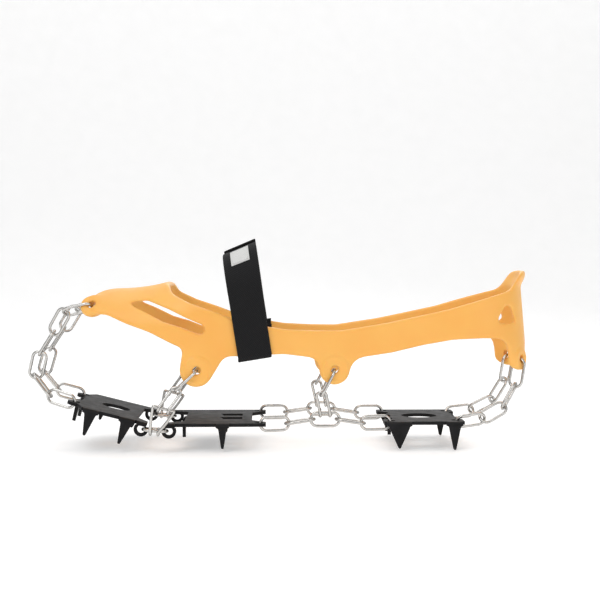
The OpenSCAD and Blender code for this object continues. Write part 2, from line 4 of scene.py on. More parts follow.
import bpy
import numpy as np
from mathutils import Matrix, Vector


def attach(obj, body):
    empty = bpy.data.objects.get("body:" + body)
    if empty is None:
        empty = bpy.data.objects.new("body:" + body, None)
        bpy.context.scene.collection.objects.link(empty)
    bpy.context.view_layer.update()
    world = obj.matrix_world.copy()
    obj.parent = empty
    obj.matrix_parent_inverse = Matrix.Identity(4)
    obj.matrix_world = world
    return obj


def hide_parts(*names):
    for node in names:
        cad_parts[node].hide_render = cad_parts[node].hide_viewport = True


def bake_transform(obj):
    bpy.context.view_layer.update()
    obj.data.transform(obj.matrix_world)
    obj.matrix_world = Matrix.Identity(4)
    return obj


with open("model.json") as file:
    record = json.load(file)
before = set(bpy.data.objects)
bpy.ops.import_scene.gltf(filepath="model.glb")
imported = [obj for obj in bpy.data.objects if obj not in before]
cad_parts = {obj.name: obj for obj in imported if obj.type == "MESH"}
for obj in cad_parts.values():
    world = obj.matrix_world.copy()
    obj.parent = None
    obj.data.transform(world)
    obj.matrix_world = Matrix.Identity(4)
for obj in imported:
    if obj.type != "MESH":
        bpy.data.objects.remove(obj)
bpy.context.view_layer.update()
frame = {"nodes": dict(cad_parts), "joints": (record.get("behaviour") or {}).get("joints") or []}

MM = 0.001  # metres in a mm
TO_MM = 1000
WIRE_R = 0.9  # mm
SEED = 7
rng = np.random.default_rng(SEED)
JOINTS = {j["name"]: j for j in frame["joints"]}


# ---------------------------------------------------------------- small helpers
def unit(v):
    """v at length 1."""
    v = np.asarray(v, float)
    return v / np.linalg.norm(v)


def turned(v, d):
    """The part of v that is square to d, at length 1."""
    return unit(v - (v @ d) * d)


def smooth(t):
    """0 to 1 with flat ends."""
    t = np.clip(t, 0, 1)
    return t * t * (3 - 2 * t)


def mesh_object(name, verts, faces, uvs=None, material=None):
    """A smooth-shaded mesh from points in mm and faces, with UVs given per point."""
    mesh = bpy.data.meshes.new(name)
    mesh.from_pydata((np.asarray(verts) * MM).tolist(), [], [list(map(int, f)) for f in faces])
    mesh.update()
    if uvs is not None:
        layer = mesh.uv_layers.new(name="UVMap")
        loops = np.zeros(len(mesh.loops), np.int32)
        mesh.loops.foreach_get("vertex_index", loops)
        layer.data.foreach_set("uv", np.asarray(uvs, np.float32)[loops].ravel())
    mesh.polygons.foreach_set("use_smooth", [True] * len(mesh.polygons))
    obj = bpy.data.objects.new(name, mesh)
    bpy.context.collection.objects.link(obj)
    if material:
        mesh.materials.append(material)
    return obj


def node_points(name):
    """A CAD node's own vertices in mm, each once."""
    mesh = frame["nodes"][name].data
    co = np.zeros(len(mesh.vertices) * 3, np.float32)
    mesh.vertices.foreach_get("co", co)
    return np.unique(np.round(co.reshape(-1, 3).astype(float) * TO_MM, 3), axis=0)


# ---------------------------------------------------------------- materials
def new_material(name):
    mat = bpy.data.materials.new(name)
    mat.use_nodes = True
    nodes, links = mat.node_tree.nodes, mat.node_tree.links
    return mat, nodes, links, nodes["Principled BSDF"]


def noise(nodes, links, scale, detail=3.0, rough=0.5):
    coord = nodes.new("ShaderNodeTexCoord")
    tex = nodes.new("ShaderNodeTexNoise")
    tex.inputs["Scale"].default_value = scale
    tex.inputs["Detail"].default_value = detail
    tex.inputs["Roughness"].default_value = rough
    links.new(coord.outputs["Object"], tex.inputs["Vector"])
    return tex.outputs["Fac"]


def ramp(nodes, links, fac, low, high, p0=0.3, p1=0.7):
    r = nodes.new("ShaderNodeValToRGB")
    r.color_ramp.elements[0].position = p0
    r.color_ramp.elements[1].position = p1
    r.color_ramp.elements[0].color = (*low, 1)
    r.color_ramp.elements[1].color = (*high, 1)
    links.new(fac, r.inputs["Fac"])
    return r.outputs["Color"]


def span(nodes, links, fac, low, high, from_low=0.3, from_high=0.7):
    m = nodes.new("ShaderNodeMapRange")
    m.inputs["From Min"].default_value = from_low
    m.inputs["From Max"].default_value = from_high
    m.inputs["To Min"].default_value = low
    m.inputs["To Max"].default_value = high
    links.new(fac, m.inputs["Value"])
    return m.outputs["Result"]


def math_node(nodes, links, op, a, b=None):
    m = nodes.new("ShaderNodeMath")
    m.operation = op
    for i, v in enumerate((a, b)):
        if v is None:
            continue
        if isinstance(v, (int, float)):
            m.inputs[i].default_value = v
        else:
            links.new(v, m.inputs[i])
    return m.outputs[0]


def bump(nodes, links, height, distance, strength=1.0, normal=None):
    b = nodes.new("ShaderNodeBump")
    b.inputs["Strength"].default_value = strength
    b.inputs["Distance"].default_value = distance
    links.new(height, b.inputs["Height"])
    if normal is not None:
        links.new(normal, b.inputs["Normal"])
    return b.outputs["Normal"]


def elastomer():
    mat, nodes, links, bsdf = new_material("harness_elastomer_look")
    big = noise(nodes, links, 28, 3)
    links.new(ramp(nodes, links, big, (0.93, 0.45, 0.09), (0.96, 0.51, 0.115)), bsdf.inputs["Base Color"])
    mid = noise(nodes, links, 260, 4)
    links.new(span(nodes, links, mid, 0.36, 0.48), bsdf.inputs["Roughness"])
    bsdf.inputs["Subsurface Weight"].default_value = 0.18
    bsdf.inputs["Subsurface Radius"].default_value = (1.0, 0.35, 0.08)
    bsdf.inputs["Subsurface Scale"].default_value = 0.0025
    bsdf.inputs["Specular IOR Level"].default_value = 0.45
    fine = noise(nodes, links, 1500, 3)
    flow = noise(nodes, links, 90, 2)
    n1 = bump(nodes, links, flow, 0.0006, 0.25)
    links.new(bump(nodes, links, fine, 0.00008, 0.5, n1), bsdf.inputs["Normal"])
    return mat


def steel_wire():
    mat, nodes, links, bsdf = new_material("chain_wire_look")
    bsdf.inputs["Metallic"].default_value = 1.0
    bsdf.inputs["Specular Tint"].default_value = (0.35, 0.35, 0.35, 1)
    spots = noise(nodes, links, 420, 5, 0.6)
    links.new(ramp(nodes, links, spots, (0.54, 0.53, 0.51), (0.64, 0.63, 0.61)), bsdf.inputs["Base Color"])
    links.new(span(nodes, links, spots, 0.16, 0.27), bsdf.inputs["Roughness"])
    fine = noise(nodes, links, 2600, 4)
    dents = noise(nodes, links, 190, 2)
    n1 = bump(nodes, links, dents, 0.0002, 0.15)
    links.new(bump(nodes, links, fine, 0.00002, 0.25, n1), bsdf.inputs["Normal"])
    return mat


def coated_steel():
    """Black coating, worn to steel at the edges and at the spikes' tips."""
    mat, nodes, links, bsdf = new_material("spike_steel_look")
    round_edge = nodes.new("ShaderNodeBevel")
    round_edge.samples = 6
    round_edge.inputs["Radius"].default_value = 0.00045
    geo = nodes.new("ShaderNodeNewGeometry")
    dot = nodes.new("ShaderNodeVectorMath")
    dot.operation = "DOT_PRODUCT"
    links.new(round_edge.outputs["Normal"], dot.inputs[0])
    links.new(geo.outputs["True Normal"], dot.inputs[1])
    edge = span(nodes, links, dot.outputs["Value"], 1.0, 0.0, 0.72, 0.97)
    sep = nodes.new("ShaderNodeSeparateXYZ")
    links.new(geo.outputs["Position"], sep.inputs["Vector"])
    tip = span(nodes, links, sep.outputs["Z"], 1.0, 0.0, -0.0165, -0.012)
    scuff = noise(nodes, links, 700, 5, 0.65)
    worn = math_node(nodes, links, "MULTIPLY", math_node(nodes, links, "MAXIMUM", edge, tip), scuff)
    worn = span(nodes, links, worn, 0.0, 0.75, 0.38, 0.62)
    mix = nodes.new("ShaderNodeMix")
    mix.data_type = "RGBA"
    links.new(worn, mix.inputs["Factor"])
    mottle = noise(nodes, links, 160, 4)
    links.new(ramp(nodes, links, mottle, (0.007, 0.007, 0.0075), (0.014, 0.014, 0.015)), mix.inputs["A"])
    mix.inputs["B"].default_value = (0.16, 0.155, 0.15, 1)
    links.new(mix.outputs["Result"], bsdf.inputs["Base Color"])
    links.new(math_node(nodes, links, "MULTIPLY", worn, 0.7), bsdf.inputs["Metallic"])
    links.new(span(nodes, links, mottle, 0.48, 0.62), bsdf.inputs["Roughness"])
    bsdf.inputs["Specular IOR Level"].default_value = 0.15
    peel = noise(nodes, links, 1100, 2)
    links.new(bump(nodes, links, peel, 0.00006, 0.6, round_edge.outputs["Normal"]), bsdf.inputs["Normal"])
    return mat


def woven(name, low, high, pitch_u, pitch_v, depth, rough, sheen):
    """Woven tape: UVs are in mm across and along it."""
    mat, nodes, links, bsdf = new_material(name)
    coord = nodes.new("ShaderNodeTexCoord")
    sep = nodes.new("ShaderNodeSeparateXYZ")
    links.new(coord.outputs["UV"], sep.inputs["Vector"])
    phase_u = math_node(nodes, links, "MULTIPLY", sep.outputs["X"], 2 * math.pi / pitch_u)
    su = math_node(nodes, links, "SINE", phase_u)
    phase_v = math_node(nodes, links, "MULTIPLY", sep.outputs["Y"], 2 * math.pi / pitch_v)
    sv = math_node(nodes, links, "SINE", phase_v)
    weave = math_node(nodes, links, "MULTIPLY", su, sv)
    fuzz = noise(nodes, links, 2400, 4, 0.7)
    half_weave = math_node(nodes, links, "MULTIPLY", weave, 0.5)
    height = math_node(nodes, links, "ADD", half_weave, math_node(nodes, links, "MULTIPLY", fuzz, 0.9))
    links.new(ramp(nodes, links, height, low, high, 0.1, 0.95), bsdf.inputs["Base Color"])
    bsdf.inputs["Roughness"].default_value = rough
    bsdf.inputs["Sheen Weight"].default_value = sheen
    bsdf.inputs["Sheen Roughness"].default_value = 0.4
    bsdf.inputs["Specular IOR Level"].default_value = 0.3
    links.new(bump(nodes, links, height, depth, 0.9), bsdf.inputs["Normal"])
    return mat


TPE = elastomer()
WIRE = steel_wire()
PLATE = coated_steel()
WEBBING = woven(
    "strap_webbing_look", (0.003, 0.003, 0.0035), (0.013, 0.013, 0.014),
    pitch_u=1.3, pitch_v=1.5, depth=0.00022, rough=0.9, sheen=0.04,
)
HOOKS = woven(
    "strap_hooks_look", (0.012, 0.012, 0.013), (0.05, 0.05, 0.052),
    pitch_u=0.9, pitch_v=0.9, depth=0.0003, rough=0.6, sheen=0.1,
)
LABEL = woven(
    "strap_label_look", (0.55, 0.55, 0.54), (0.86, 0.86, 0.84),
    pitch_u=0.7, pitch_v=0.8, depth=0.00012, rough=0.75, sheen=0.1,
)
THREAD = woven(
    "strap_thread_look", (0.02, 0.02, 0.021), (0.09, 0.09, 0.092),
    pitch_u=0.6, pitch_v=0.6, depth=0.0001, rough=0.6, sheen=0.2,
)
WHITE_THREAD = woven(
    "label_thread_look", (0.45, 0.45, 0.44), (0.75, 0.75, 0.73),
    pitch_u=0.6, pitch_v=0.6, depth=0.0001, rough=0.6, sheen=0.2,
)

# ---------------------------------------------------------------- the worn body's shape (mm)
HEEL_HALF, BALL_HALF, BAND_T = 35.0, 47.0, 3.6
HEEL_START, HEEL_END, TOE_START, TOE_END = 20.0, 66.0, -150.0, -238.0
SHOULDER = 30.0
END_POWER = 2.3
TOP = np.array(  # the top line's x and z, from the toe back
    [
        [-250, 22], [-238, 41], [-225, 60], [-208, 74], [-195, 79], [-178, 80.2], [-163, 82.5],
        [-145, 88], [-121, 97.5], [-101, 105.5], [-70, 118], [-20, 138], [80, 160],
    ],
    float,
)


def rounded_end(t):
    t = np.clip(t, 0, 1)
    return (1 - t**END_POWER) ** (1 / END_POWER)


def half_w(x, d=0.0):
    """Half the width at x, d outside the harness surface."""
    x = np.asarray(x, float)
    mid = HEEL_HALF + d + (BALL_HALF - HEEL_HALF) * smooth((HEEL_START - x) / (HEEL_START - TOE_START))
    heel = (HEEL_HALF + d) * rounded_end((x - HEEL_START) / (HEEL_END - HEEL_START + d))
    toe = (BALL_HALF + d) * rounded_end((TOE_START - x) / (TOE_START - TOE_END + d))
    return np.where(x > HEEL_START, heel, np.where(x < TOE_START, toe, mid))


def top_z(x, d=0.0):
    x = np.asarray(x, float)
    xs, zs = TOP[:, 0], TOP[:, 1]
    slope = np.zeros(len(xs))
    slope[1:-1] = (zs[2:] - zs[:-2]) / (xs[2:] - xs[:-2])
    slope[0], slope[-1] = slope[1], slope[-2]
    i = np.clip(np.searchsorted(xs, x) - 1, 0, len(xs) - 2)
    w = xs[i + 1] - xs[i]
    t = (x - xs[i]) / w
    return (
        zs[i] * (2 * t**3 - 3 * t**2 + 1) + slope[i] * w * (t**3 - 2 * t**2 + t)
        + zs[i + 1] * (3 * t**2 - 2 * t**3) + slope[i + 1] * w * (t**3 - t**2) + d
    )


def corner_r(x, d=0.0):
    return np.minimum(SHOULDER + d, np.maximum(half_w(x, d), 0.2))


def side_y(x, z, d=0.0):
    """How far out the surface is at x and height z."""
    r = corner_r(x, d)
    over = np.maximum(z - (top_z(x, d) - r), 0)
    return half_w(x, d) - r + np.sqrt(np.maximum(r**2 - over**2, 0))


def lean(x, z):
    """How far the heel's surface shifts along x with height."""
    return -0.085 * (z - 46) * smooth((x + 20) / 70) + 3.5 * smooth((z - 80) / 9) * smooth((x - 44) / 14)


# ---------------------------------------------------------------- harness (mm)
# Side outline: runs of circles (x, z, radius), each pair of which is hulled
REAR_RUN = [
    (78, 64.5, 18.5), (54, 64.2, 14.2), (35, 61.8, 11.3), (16, 58.7, 9), (-3, 55, 8.6), (-22, 50.8, 8.8),
    (-50, 46.6, 8.6), (-67, 47.4, 7.9), (-85, 49, 7.1), (-112, 50.6, 9.9), (-132, 54.5, 13.3),
    (-146, 59.8, 12.8), (-160, 66.9, 12.7), (-175, 71, 11.6), (-188, 73.4, 8.6), (-193.8, 72.2, 6.8),
]
BRIDGE_RUN = [(-160, 78, 7), (-178, 77, 8), (-192.5, 76.5, 7.2)]
SIDE_LUG_1 = [(-131, 49, 13), (-137.2, 32.2, 9.6)]
SIDE_LUG_2 = [(-54.8, 44, 10), (-54.9, 32.2, 9)]
HEEL_SKIRT = [(60, 62, 10), (62, 34, 10)]
PULL_TAB = [(61, 74, 9), (64, 86.3, 4.6)]
WINDOW = [(-175.5, 71.2, 1), (-167, 70, 3.3), (-155, 64.6, 4), (-145, 60.7, 3.1), (-135, 56.6, 2.9)]
HEEL_WINDOW = [(47.6, 61.6, 2.6), (53.4, 61, 2.4), (50.9, 67.2, 2.6)]
LUG_HOLE_R = 2.4
FAR = 1e3
EDGE_R = 1.35
CLOSING_MARGIN = 12
CLOSING_PARTS = 24  # the closing is worked out in parts, to save memory
OUTLINE_GROWTH = 0.25
GRID = 0.8
GRID_LOW, GRID_HIGH = np.array([-212.0, -50.0, 20.0]), np.array([70.0, 50.0, 94.0])
PLAN_STEP = 0.5
LUG_BOX = 15


def capsule(px, pz, a, b):
    """Distance to the hull of two circles."""
    ax, az, ra = a
    bx, bz, rb = b
    length = math.hypot(bx - ax, bz - az)
    if length <= abs(ra - rb):
        big = a if ra > rb else b
        return np.hypot(px - big[0], pz - big[1]) - big[2]
    ux, uz = (bx - ax) / length, (bz - az) / length
    qx = (px - ax) * ux + (pz - az) * uz
    qz = np.abs(-(px - ax) * uz + (pz - az) * ux)
    s = (ra - rb) / length
    c = math.sqrt(1 - s * s)
    k = -s * qz + c * qx
    beyond_a = np.where(k > c * length, np.hypot(qx - length, qz) - rb, qx * s + qz * c - ra)
    return np.where(k < 0, np.hypot(qx, qz) - ra, beyond_a)


def run(px, pz, points):
    d = np.full(px.shape, FAR)
    for a, b in zip(points, points[1:]):
        d = np.minimum(d, capsule(px, pz, a, b))
    return d


def smin(a, b, k):
    """The union of two fields, blended over k."""
    h = np.clip(0.5 + 0.5 * (b - a) / k, 0, 1)
    return b + (a - b) * h - k * h * (1 - h)


def round_max(a, b, r):
    """What two fields share, with its edge rounded to radius r."""
    return np.minimum(np.maximum(a, b), -r) + np.hypot(np.maximum(a + r, 0), np.maximum(b + r, 0))


def blur2(f, n):
    for _ in range(n):
        g = f.copy()
        g[1:-1] = (f[:-2] + 2 * f[1:-1] + f[2:]) / 4
        f = g.copy()
        f[:, 1:-1] = (g[:, :-2] + 2 * g[:, 1:-1] + g[:, 2:]) / 4
    return f


def closed(f, x, z, reach):
    """The field of a shape whose inside corners are filled by arcs of radius reach."""
    a = f - reach
    seeds = []
    for cut, dx, dz in (((slice(0, -1), slice(None)), 1, 0), ((slice(None), slice(0, -1)), 0, 1)):
        other = (slice(dx, None), slice(dz, None))
        u, v = a[cut], a[other]
        i, j = np.nonzero((u < 0) != (v < 0))
        t = u[i, j] / (u[i, j] - v[i, j])
        seeds.append(np.stack([x[i] + dx * t * (x[1] - x[0]), z[j] + dz * t * (z[1] - z[0])], 1))
    seeds = np.concatenate(seeds)
    px, pz = np.meshgrid(x, z, indexing="ij")
    todo = np.argwhere((f > -reach) & (a < 0))
    out = f.copy()
    for part in np.array_split(todo, CLOSING_PARTS):
        p = np.stack([px[tuple(part.T)], pz[tuple(part.T)]], 1)
        d2 = ((p[:, None, :] - seeds[None, :, :]) ** 2).sum(2)
        out[tuple(part.T)] = reach - np.sqrt(d2.min(1))
    return out


def outline_field(xs, zs):
    # a margin all round, so that the closing has its far side
    h = xs[1] - xs[0]
    pad = int(CLOSING_MARGIN / h)
    wx = xs[0] + h * np.arange(-pad, len(xs) + pad)
    wz = zs[0] + h * np.arange(-pad, len(zs) + pad)
    px, pz = np.meshgrid(wx, wz, indexing="ij")
    d = run(px, pz, REAR_RUN)
    for part in (SIDE_LUG_1, SIDE_LUG_2, BRIDGE_RUN, HEEL_SKIRT, PULL_TAB):
        d = np.minimum(d, run(px, pz, part))
    # inside corners are tight at the toe and wide in front of the heel
    tight, mid, wide = (closed(d, wx, wz, reach) for reach in (3.5, 7.0, 10.0))
    d = np.where(px < -137, tight, np.where((px > -55) & (px < 20), wide, mid))
    hole = run(px, pz, WINDOW)
    tri = run(px, pz, HEEL_WINDOW + HEEL_WINDOW[:1])
    centre = np.mean(np.array(HEEL_WINDOW)[:, :2], axis=0)
    tri = np.minimum(tri, np.hypot(px - centre[0], pz - centre[1]) - 3.4)
    d = blur2(d, 5)
    return np.maximum(d - OUTLINE_GROWTH, -blur2(np.minimum(hole, tri), 2))[pad:-pad, pad:-pad]


def sample(f, lo, h, p):
    """Trilinear reading of the grid f at points p."""
    q = (p - lo) / h
    i = np.clip(np.floor(q).astype(int), 0, np.array(f.shape) - 2)
    t = q - i
    out = 0
    for dx in (0, 1):
        for dy in (0, 1):
            for dz in (0, 1):
                wx = t[:, 0] if dx else 1 - t[:, 0]
                wy = t[:, 1] if dy else 1 - t[:, 1]
                wz = t[:, 2] if dz else 1 - t[:, 2]
                out = out + wx * wy * wz * f[i[:, 0] + dx, i[:, 1] + dy, i[:, 2] + dz]
    return out


def surface(f, lo, h):
    """Surface nets over the grid f: one point in each crossed cell, one quad round each crossed edge."""
    shape = np.array(f.shape) - 1
    total = np.zeros((*shape, 3), np.float32)
    count = np.zeros(shape, np.float32)
    inside = f < 0
    crossings = []
    for axis in range(3):
        a = [slice(None)] * 3
        b = [slice(None)] * 3
        a[axis] = slice(0, -1)
        b[axis] = slice(1, None)
        idx = np.argwhere(inside[tuple(a)] != inside[tuple(b)])
        jdx = idx.copy()
        jdx[:, axis] += 1
        fa = f[tuple(idx.T)]
        fb = f[tuple(jdx.T)]
        point = idx.astype(np.float32)
        point[:, axis] += fa / (fa - fb)
        others = [k for k in range(3) if k != axis]
        ok = np.all((idx[:, others] > 0) & (idx[:, others] < shape[others]), axis=1)
        idx, point, fa = idx[ok], point[ok], fa[ok]
        cells = []
        for o1, o2 in ((-1, -1), (0, -1), (0, 0), (-1, 0)):
            c = idx.copy()
            c[:, others[0]] += o1
            c[:, others[1]] += o2
            np.add.at(total, tuple(c.T), point)
            np.add.at(count, tuple(c.T), 1)
            cells.append(c)
        crossings.append((axis, fa < 0, cells))
    ids = -np.ones(shape, np.int64)
    used = count > 0
    ids[used] = np.arange(used.sum())
    verts = total[used] / count[used][:, None] * h + lo
    faces = []
    for axis, out_up, cells in crossings:
        quad = np.stack([ids[tuple(c.T)] for c in cells], axis=1)
        flip = out_up if axis != 1 else ~out_up
        faces.append(np.where(flip[:, None], quad, quad[:, ::-1]))
    faces = np.concatenate(faces)
    # three short steps down the gradient put the points on the surface itself
    for _ in range(3):
        value = sample(f, lo, h, verts)
        e = 0.5 * h
        grad = np.stack(
            [(sample(f, lo, h, verts + e * a) - sample(f, lo, h, verts - e * a)) / (2 * e) for a in np.eye(3)],
            axis=1,
        )
        size = np.maximum((grad**2).sum(1), 0.2)
        verts = verts - np.clip(value / size, -0.5, 0.5)[:, None] * grad
    return verts, faces


def lug_centre(x, z):
    """The middle of the left wall at x and z."""
    return np.array([x + float(lean(x, z)), -float(side_y(x, z, -BAND_T / 2)), z])


def side_out(x, z):
    """The direction straight out of the left wall."""
    h, d = 0.5, -BAND_T / 2
    along = (side_y(x + h, z, d) - side_y(x - h, z, d)) / (2 * h)
    up = (side_y(x, z + h, d) - side_y(x, z - h, d)) / (2 * h)
    return unit([-float(along), -1.0, -float(up)])


def harness_mesh():
    h, lo = GRID, GRID_LOW
    n = np.ceil((GRID_HIGH - lo) / h).astype(int) + 1
    xs, ys, zs = (lo[k] + h * np.arange(n[k]) for k in range(3))
    X, Y, Z = xs[:, None, None], np.abs(ys)[None, :, None], zs[None, None, :]
    # front and middle: rounded section across the foot
    b = half_w(xs)[:, None, None]
    r = corner_r(xs)[:, None, None]
    t = top_z(xs)[:, None, None]
    q, p = Y - (b - r), Z - (t - r)
    section = np.hypot(np.maximum(q, 0), np.maximum(p, 0)) + np.minimum(np.maximum(q, p), 0) - r
    slope = np.gradient(section, h, axis=0)
    body = section / np.sqrt(1 + slope**2)
    # heel: distance from the plan outline, leaning with height
    ox = np.concatenate([np.linspace(-40, 20, 120), 20 + 46 * np.sin(np.linspace(0, math.pi / 2, 260))])
    oy = half_w(ox)
    gx, gy = np.arange(-20, 80.5, PLAN_STEP), np.arange(0, 56.5, PLAN_STEP)
    PX, PY = np.meshgrid(gx, gy, indexing="ij")
    near = np.full(PX.shape, FAR)
    for x0, y0, x1, y1 in zip(ox, oy, ox[1:], oy[1:]):
        l2 = max((x1 - x0) ** 2 + (y1 - y0) ** 2, 1e-9)
        s = np.clip(((PX - x0) * (x1 - x0) + (PY - y0) * (y1 - y0)) / l2, 0, 1)
        near = np.minimum(near, np.hypot(PX - x0 - s * (x1 - x0), PY - y0 - s * (y1 - y0)))
    plan = np.where((PX < HEEL_END) & (PY < half_w(PX)), -near, near)
    heel = np.where(xs > 0)[0]
    hx = xs[heel][:, None, None] + 0 * Y + 0 * Z
    hx = hx - lean(hx, Z)
    u = np.clip((hx + 20) / PLAN_STEP, 0, len(gx) - 1.001)
    v = np.clip((Y + 0 * hx) / PLAN_STEP, 0, len(gy) - 1.001)
    ui, vi = u.astype(int), v.astype(int)
    fu, fv = u - ui, v - vi
    body[heel] = (
        plan[ui, vi] * (1 - fu) * (1 - fv) + plan[ui + 1, vi] * fu * (1 - fv)
        + plan[ui, vi + 1] * (1 - fu) * fv + plan[ui + 1, vi + 1] * fu * fv
    )
    shell = np.abs(body + BAND_T / 2) - BAND_T / 2
    outline = outline_field(xs, zs)[:, None, :]
    # arch between the heel lugs, seen from behind
    lug_y = float(side_y(58.8, 37, -BAND_T / 2))
    keep = smin(46 - Z, capsule(Y, Z, (lug_y, 37, 7.0), (lug_y, 52, 7.8)), 7)
    keep = np.where(X > 38, keep, -20)
    # gap between the toe lugs, seen from above
    wedge = np.maximum(X + 203, (Y - (19 + 0.39 * (-203 - X))) / 1.07)
    notch = np.minimum(capsule(X, Y, (-203, 0, 8), (-203, 11, 8)), wedge)
    f = round_max(shell, outline, EDGE_R)
    f = round_max(f, keep, EDGE_R)
    f = round_max(f, -notch, EDGE_R)
    toe_lug_out = unit([0, -math.cos(math.radians(35)), math.sin(math.radians(35))])
    lugs = [  # centre, direction out, radius, half thickness, blend into the wall
        (lug_centre(-200.5, 69.6), toe_lug_out, 6.9, 2.2, 5.0),
        (lug_centre(-136.9, 32.2), side_out(-136.9, 32.2), 8.3, 2.3, 0.3),
        (lug_centre(-54.9, 32.2), side_out(-54.9, 32.2), 8.1, 2.3, 0.3),
        (lug_centre(58.8, 37), side_out(58.8, 37), 6.6, 2.2, 0.6),
    ]
    for side in (1, -1):
        for c, axis, radius, half, k in lugs:
            m = np.array([1, side, 1])
            c0, a0 = c * m, axis * m
            i0 = np.maximum(np.floor((c0 - LUG_BOX - lo) / h).astype(int), 0)
            i1 = np.minimum(np.ceil((c0 + LUG_BOX - lo) / h).astype(int), n)
            s = tuple(slice(a, b) for a, b in zip(i0, i1))
            gx3, gy3, gz3 = np.meshgrid(xs[s[0]], ys[s[1]], zs[s[2]], indexing="ij")
            rel = np.stack([gx3 - c0[0], gy3 - c0[1], gz3 - c0[2]], -1)
            up = rel @ a0
            out = np.sqrt(np.maximum((rel**2).sum(-1) - up**2, 0))
            boss = round_max(out - radius, np.abs(up) - half, 1.3 if k > 1 else 0.7)
            g = smin(f[s], boss, k)
            if k < 0.5:
                rim = np.hypot(out - radius + 0.8, np.abs(up) - 1.75) - 0.85
                g = smin(g, rim, 0.5)
            g = round_max(g, -(out - LUG_HOLE_R), 0.55)
            f[s] = np.where(np.abs(up) < 7, g, f[s])
    return surface(f.astype(np.float32), lo, h)


def build_harness():
    verts, faces = harness_mesh()
    obj = mesh_object("harness_band", verts, faces, material=TPE)
    relax = obj.modifiers.new("relax", "SMOOTH")
    relax.factor = 0.5
    relax.iterations = 2
    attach(obj, "harness")
    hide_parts("harness")


# ---------------------------------------------------------------- wire links (mm)
HOOK_R = 2 * WIRE_R + 0.42
HOOK_SPREAD = 6.0
LEG_GAP = 0.2  # left between two wires where one link bears on another
BENT_LINKS = ("bell_link", "hook_link_1", "hook_link_2")
OPEN_START = np.array([0.2, 1.0, 0.3])


def tube(path, closed, radius=WIRE_R, sides=16, start=None, swell=None):
    """A round wire along a path, with domed ends if it is open. Returns points and faces."""
    path = np.asarray(path, float)
    n = len(path)
    if closed:
        tangent = np.roll(path, -1, 0) - np.roll(path, 1, 0)
    else:
        tangent = np.gradient(path, axis=0)
    tangent /= np.linalg.norm(tangent, axis=1)[:, None]
    ref = start if start is not None else unit(np.cross(tangent[0], [0.3, 0.5, 0.8]))
    rows = []
    ref = turned(ref, tangent[0])
    angles = np.linspace(0, 2 * math.pi, sides, endpoint=False)
    for i in range(n):
        ref = turned(ref, tangent[i])
        other = np.cross(tangent[i], ref)
        r = radius * (swell[i] if swell is not None else 1)
        rows.append(path[i] + r * (np.cos(angles)[:, None] * ref + np.sin(angles)[:, None] * other))
    if not closed:
        def cap(k, sign):
            out = []
            for a in (30, 60, 80):
                s = math.radians(a)
                rise = sign * tangent[k] * radius * 0.8 * math.sin(s)
                out.append(path[k] + rise + (rows[k] - path[k]) * math.cos(s))
            return out
        head, tail = cap(0, -1), cap(n - 1, 1)
        rows = head[::-1] + rows + tail
    rows = np.array(rows)
    m = len(rows)
    faces = []
    for i in range(m if closed else m - 1):
        j = (i + 1) % m
        for k in range(sides):
            beside = (k + 1) % sides
            faces.append((i * sides + k, i * sides + beside, j * sides + beside, j * sides + k))
    if not closed:
        faces.append(tuple(range(sides))[::-1])
        faces.append(tuple((m - 1) * sides + k for k in range(sides)))
    return rows.reshape(-1, 3), faces


def link_axes(name):
    """A CAD link's centre, its long axis, the axis across its loop, and its points."""
    p = node_points(name)
    c = p.mean(0)
    _, vec = np.linalg.eigh(np.cov((p - c).T))
    return c, vec[:, 2], vec[:, 1], p


def oval_path(c, u, w, length, width):
    r = (width - 2 * WIRE_R) / 2
    s = (length - width) / 2
    pts = []
    for a in np.linspace(-90, 90, 22):
        pts.append((s + r * math.cos(math.radians(a)), r * math.sin(math.radians(a))))
    for x in np.linspace(s, -s, 15)[1:-1]:
        pts.append((x, r))
    for a in np.linspace(90, 270, 22):
        pts.append((-s + r * math.cos(math.radians(a)), r * math.sin(math.radians(a))))
    for x in np.linspace(-s, s, 15)[1:-1]:
        pts.append((x, -r))
    pts = np.array(pts)
    # butt weld near the middle of one leg
    swell = np.ones(len(pts))
    on_leg = pts[:, 1] > r - 0.01
    swell[on_leg] += 0.10 * np.exp(-((pts[on_leg, 0] - 0.3) ** 2) / 0.9)
    return c + pts[:, :1] * u + pts[:, 1:] * w, swell


def dense(path, step):
    """The path's points again, evenly spaced about step mm apart."""
    path = np.asarray(path, float)
    d = np.concatenate([[0], np.cumsum(np.linalg.norm(np.diff(path, axis=0), axis=1))])
    s = np.linspace(0, d[-1], max(8, int(d[-1] / step)))
    return np.stack([np.interp(s, d, path[:, k]) for k in range(3)], 1)


def chaikin(path, times):
    """The path with its corners cut, times over."""
    path = np.asarray(path, float)
    for _ in range(times):
        q = 0.75 * path[:-1] + 0.25 * path[1:]
        r = 0.25 * path[:-1] + 0.75 * path[1:]
        mid = np.empty((len(q) * 2, 3))
        mid[0::2], mid[1::2] = q, r
        path = np.vstack([path[:1], mid, path[-1:]])
    return path


def hook_curl(c, direction, up, side):
    """The open hook round the wire at c."""
    o = np.cross(direction, up)
    o = unit(o) if o[1] * side < 0 else -unit(o)
    v = turned(up, direction)
    angles = np.radians(np.linspace(0, 205, 22))
    return np.array([c + HOOK_R * (math.cos(a) * o - math.sin(a) * v) for a in angles])


def hook_link_path(top, bar, d, side):
    """A narrow link that bears at top and hooks twice round the bar, which runs along d."""
    v = turned(top - bar, d)
    r = HOOK_SPREAD / 2
    c = top + (0.5 + WIRE_R) * v - r * v
    angles = np.radians(np.linspace(180, 0, 25))
    arc = np.array([c + r * (math.cos(a) * d + math.sin(a) * v) for a in angles])
    left = hook_curl(bar - d * r, d, v, side)[::-1]
    right = hook_curl(bar + d * r, d, v, side)
    return chaikin(dense(np.vstack([left, arc, right]), 0.7), 2)


